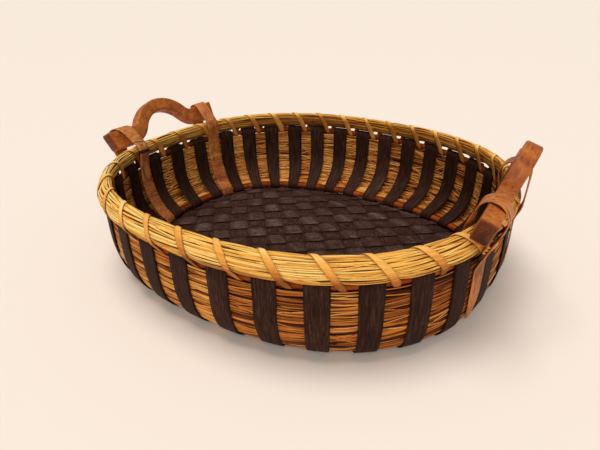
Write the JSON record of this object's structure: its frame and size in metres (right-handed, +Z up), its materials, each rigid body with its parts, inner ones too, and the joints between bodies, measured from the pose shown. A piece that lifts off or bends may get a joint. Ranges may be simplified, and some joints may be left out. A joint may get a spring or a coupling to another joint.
{
  "type": "oval basket tray",
  "caption": "Shallow oval basket tray of golden straw courses held by dark splint stakes, with a lashed straw rim, a woven splint floor and two bent wood handles on strap loops.",
  "frame": {"origin": "On the ground under the middle of the rim's oval, on the floor mat's flat underside. The two handles reach out differently, so the middle of the bounding box lies about 6 mm towards the left handle.", "axes": "+X along the tray's length towards the right handle of the picture, +Y towards the back of the picture, +Z up."},
  "size_m": [0.4875, 0.4045, 0.1637],
  "materials": {
    "floor_splint": "dark stained flat splints, dull",
    "wall_straw": "dry golden straw, satin",
    "cane": "reddish cane, satin",
    "rim_straw": "pale golden straw stems, satin",
    "lashing_strip": "pale flat strip, satin",
    "dark_splint": "dark stained flat splint, fibrous and dull",
    "handle_wood": "warm brown bent wood, lightly polished",
    "strap_wood": "tan split wood strap, satin"
  },
  "bodies": {
    "root": {"floor_mat": "floor_splint", "straw_wall": "wall_straw", "bottom_hoop": "cane", "top_hoop": "cane", "rim_bundle": "rim_straw", "rim_lashing": "lashing_strip", "left_handle": "handle_wood", "right_handle": "handle_wood", "left_front_strap": "strap_wood", "left_back_strap": "strap_wood", "right_front_strap": "strap_wood", "right_back_strap": "strap_wood", "stake_01": "dark_splint", "stake_02": "dark_splint", "stake_03": "dark_splint", "stake_04": "dark_splint", "stake_05": "dark_splint", "stake_06": "dark_splint", "stake_07": "dark_splint", "stake_08": "dark_splint", "stake_09": "dark_splint", "stake_10": "dark_splint", "stake_11": "dark_splint", "stake_12": "dark_splint", "stake_13": "dark_splint", "stake_14": "dark_splint", "stake_15": "dark_splint", "stake_16": "dark_splint", "stake_17": "dark_splint", "stake_18": "dark_splint", "stake_19": "dark_splint", "stake_20": "dark_splint", "stake_21": "dark_splint", "stake_22": "dark_splint", "stake_23": "dark_splint", "stake_24": "dark_splint", "stake_25": "dark_splint", "stake_26": "dark_splint", "stake_27": "dark_splint", "stake_28": "dark_splint", "stake_29": "dark_splint", "stake_30": "dark_splint", "stake_31": "dark_splint", "stake_32": "dark_splint", "stake_33": "dark_splint"}
  },
  "joints": []
}
